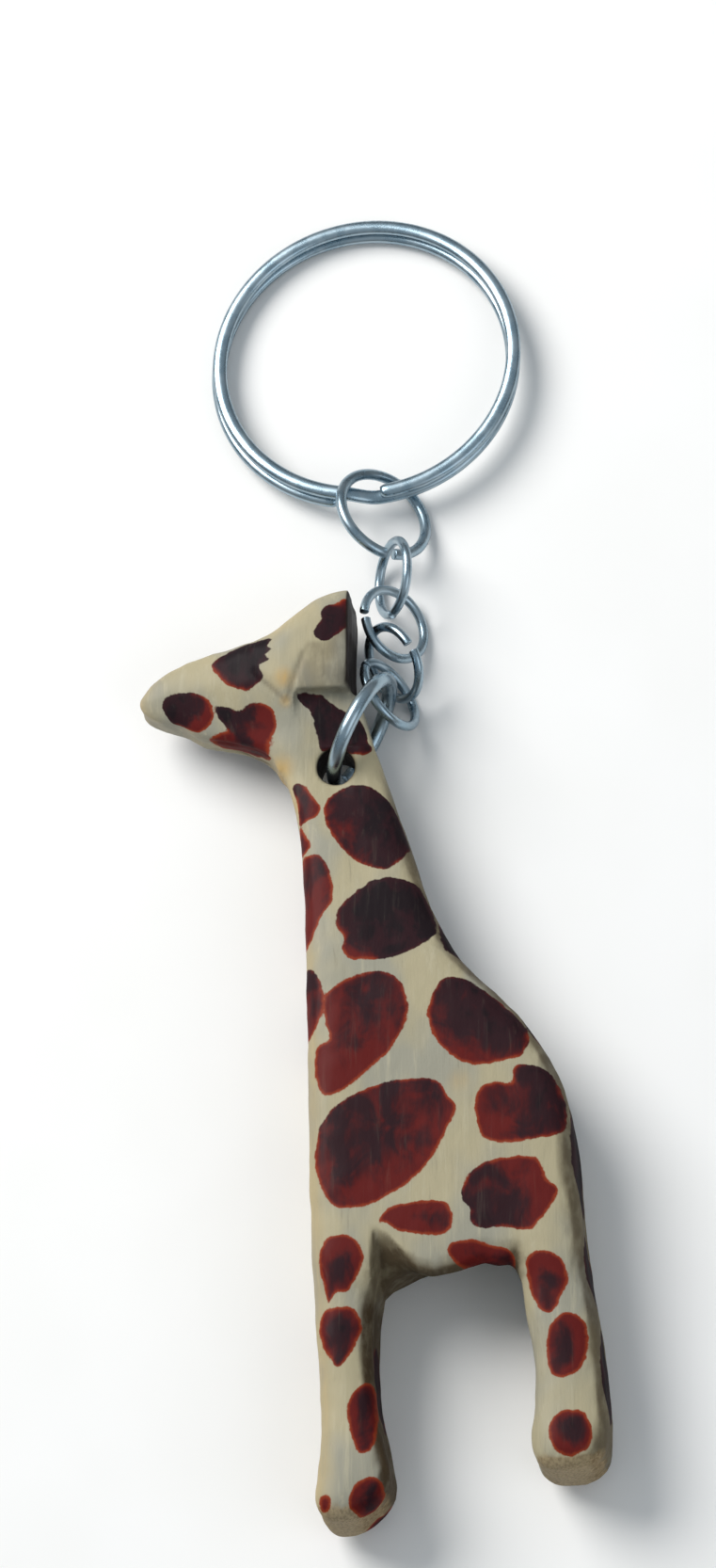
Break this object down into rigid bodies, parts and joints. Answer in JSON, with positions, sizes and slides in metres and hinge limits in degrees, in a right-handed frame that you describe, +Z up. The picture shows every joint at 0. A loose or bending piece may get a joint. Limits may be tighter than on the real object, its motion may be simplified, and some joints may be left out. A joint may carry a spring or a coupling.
{
  "type": "carved giraffe key ring",
  "caption": "Flat carved and painted wooden giraffe hung by a bail and a short chain of wire links from a split key ring, lying on its side.",
  "frame": {"origin": "on the table, under the middle of the whole key ring's box", "axes": "+Z up off the table it lies on, +Y from the feet to the key ring, +X from the nose to the rump"},
  "size_m": [0.0432, 0.1302, 0.012],
  "materials": {
    "painted_wood": "pale close-grained wood, painted with dark red-brown spots and varnished",
    "plated_steel": "bright nickel-plated steel wire, lightly scuffed"
  },
  "bodies": {
    "giraffe": {"giraffe_carving": "painted_wood"},
    "bail": {"bail_ring": "plated_steel"},
    "link_1": {"chain_link_1": "plated_steel"},
    "link_2": {"chain_link_2": "plated_steel"},
    "link_3": {"chain_link_3": "plated_steel"},
    "link_4": {"chain_link_4": "plated_steel"},
    "jump": {"jump_ring": "plated_steel"},
    "split_ring": {"key_ring": "plated_steel"}
  },
  "joints": [
    {"name": "bail_swivel", "type": "hinge", "parent": "giraffe", "child": "bail", "pos_m": [-0.00292, 0.00657, 0.0055], "axis": [0, 0, 1], "range_deg": [-70, 1]},
    {"name": "link_1_swing", "type": "hinge", "parent": "bail", "child": "link_1", "pos_m": [0.00162, 0.01487, 0.0037], "axis": [0.2098, 0.3832, 0.8995], "range_deg": [-40, 5]},
    {"name": "link_2_swing", "type": "hinge", "parent": "link_1", "child": "link_2", "pos_m": [0.00073, 0.01843, 0.00263], "axis": [0.5436, -0.0913, -0.8344], "range_deg": [-10, 27]},
    {"name": "link_3_swing", "type": "hinge", "parent": "link_2", "child": "link_3", "pos_m": [0.00042, 0.0214, 0.00421], "axis": [0.5553, 0.0992, 0.8257], "range_deg": [-35, 25]},
    {"name": "link_4_swing", "type": "hinge", "parent": "link_3", "child": "link_4", "pos_m": [0.00148, 0.02593, 0.00294], "axis": [-0.6955, -0.0998, 0.7116], "range_deg": [-79, 61]},
    {"name": "jump_ring_swing", "type": "hinge", "parent": "link_4", "child": "jump", "pos_m": [0.00183, 0.03046, 0.00334], "axis": [-0.4748, -0.0845, -0.876], "range_deg": [-45, 55]},
    {"name": "key_ring_swing", "type": "hinge", "parent": "jump", "child": "split_ring", "pos_m": [0.00027, 0.03797, 0.00262], "axis": [-0.795, -0.0296, 0.6059], "range_deg": [-13, 37]}
  ]
}
